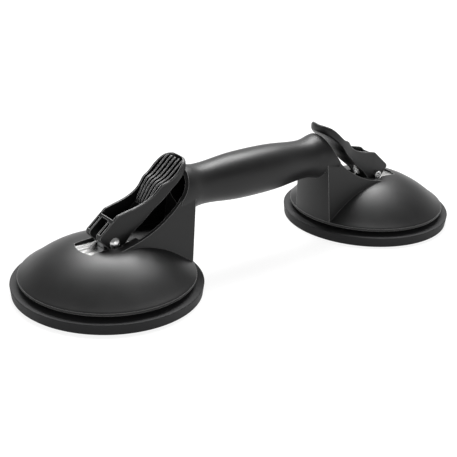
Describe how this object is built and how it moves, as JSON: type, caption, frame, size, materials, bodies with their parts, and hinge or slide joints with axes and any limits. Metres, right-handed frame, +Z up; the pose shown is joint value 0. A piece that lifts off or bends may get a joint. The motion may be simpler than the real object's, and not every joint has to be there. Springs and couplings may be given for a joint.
{
  "type": "suction cup lifter",
  "caption": "Handle bar joining two domed suction cups, each with a rubber pad and a fold-over cam lever that draws the pad up to grip tiles or glass.",
  "frame": {"origin": "on the floor under the middle of the grip, midway between the two suction cups", "axes": "+Z up; +X along the grip toward the right cup; +Y across the grip; levers released and folded up against the grip's ends"},
  "size_m": [0.3414, 0.12, 0.0785],
  "materials": {
    "moulding": "satin",
    "lever_plastic": "satin",
    "pad_rubber": "matt",
    "plate_steel": "bright",
    "pin_steel": "bright",
    "zinc_steel": "zinc plated",
    "spring_steel": "plain"
  },
  "bodies": {
    "body": {"body_moulding": "moulding", "rubber_pad_left": "pad_rubber", "rubber_pad_right": "pad_rubber", "wear_plate_left": "plate_steel", "wear_plate_right": "plate_steel", "spring_seat_left": "zinc_steel", "spring_seat_right": "zinc_steel", "return_spring_left": "spring_steel", "return_spring_right": "spring_steel"},
    "stud_left": {"pull_stud_left": "zinc_steel", "stud_disc_left": "zinc_steel", "pivot_pin_left": "pin_steel"},
    "lever_left": {"cam_lever_left": "lever_plastic"},
    "stud_right": {"pull_stud_right": "zinc_steel", "stud_disc_right": "zinc_steel", "pivot_pin_right": "pin_steel"},
    "lever_right": {"cam_lever_right": "lever_plastic"}
  },
  "joints": [
    {"name": "stud_lift_left", "type": "slide", "parent": "body", "child": "stud_left", "axis": [0, 0, 1], "range_m": [0, 0.0085], "deforming": ["return_spring_left"]},
    {"name": "lever_turn_left", "type": "hinge", "parent": "stud_left", "child": "lever_left", "pos_m": [-0.1107, 0, 0.0342], "axis": [0, -1, 0], "range_deg": [0, 139]},
    {"name": "stud_lift_right", "type": "slide", "parent": "body", "child": "stud_right", "axis": [0, 0, 1], "range_m": [0, 0.0085], "deforming": ["return_spring_right"]},
    {"name": "lever_turn_right", "type": "hinge", "parent": "stud_right", "child": "lever_right", "pos_m": [0.1107, 0, 0.0342], "axis": [0, 1, 0], "range_deg": [0, 139]}
  ],
  "couplings": [
    {"joint": "stud_lift_left", "follows": "lever_turn_left", "m_per_rad": 0.00345},
    {"joint": "stud_lift_right", "follows": "lever_turn_right", "m_per_rad": 0.00345}
  ]
}
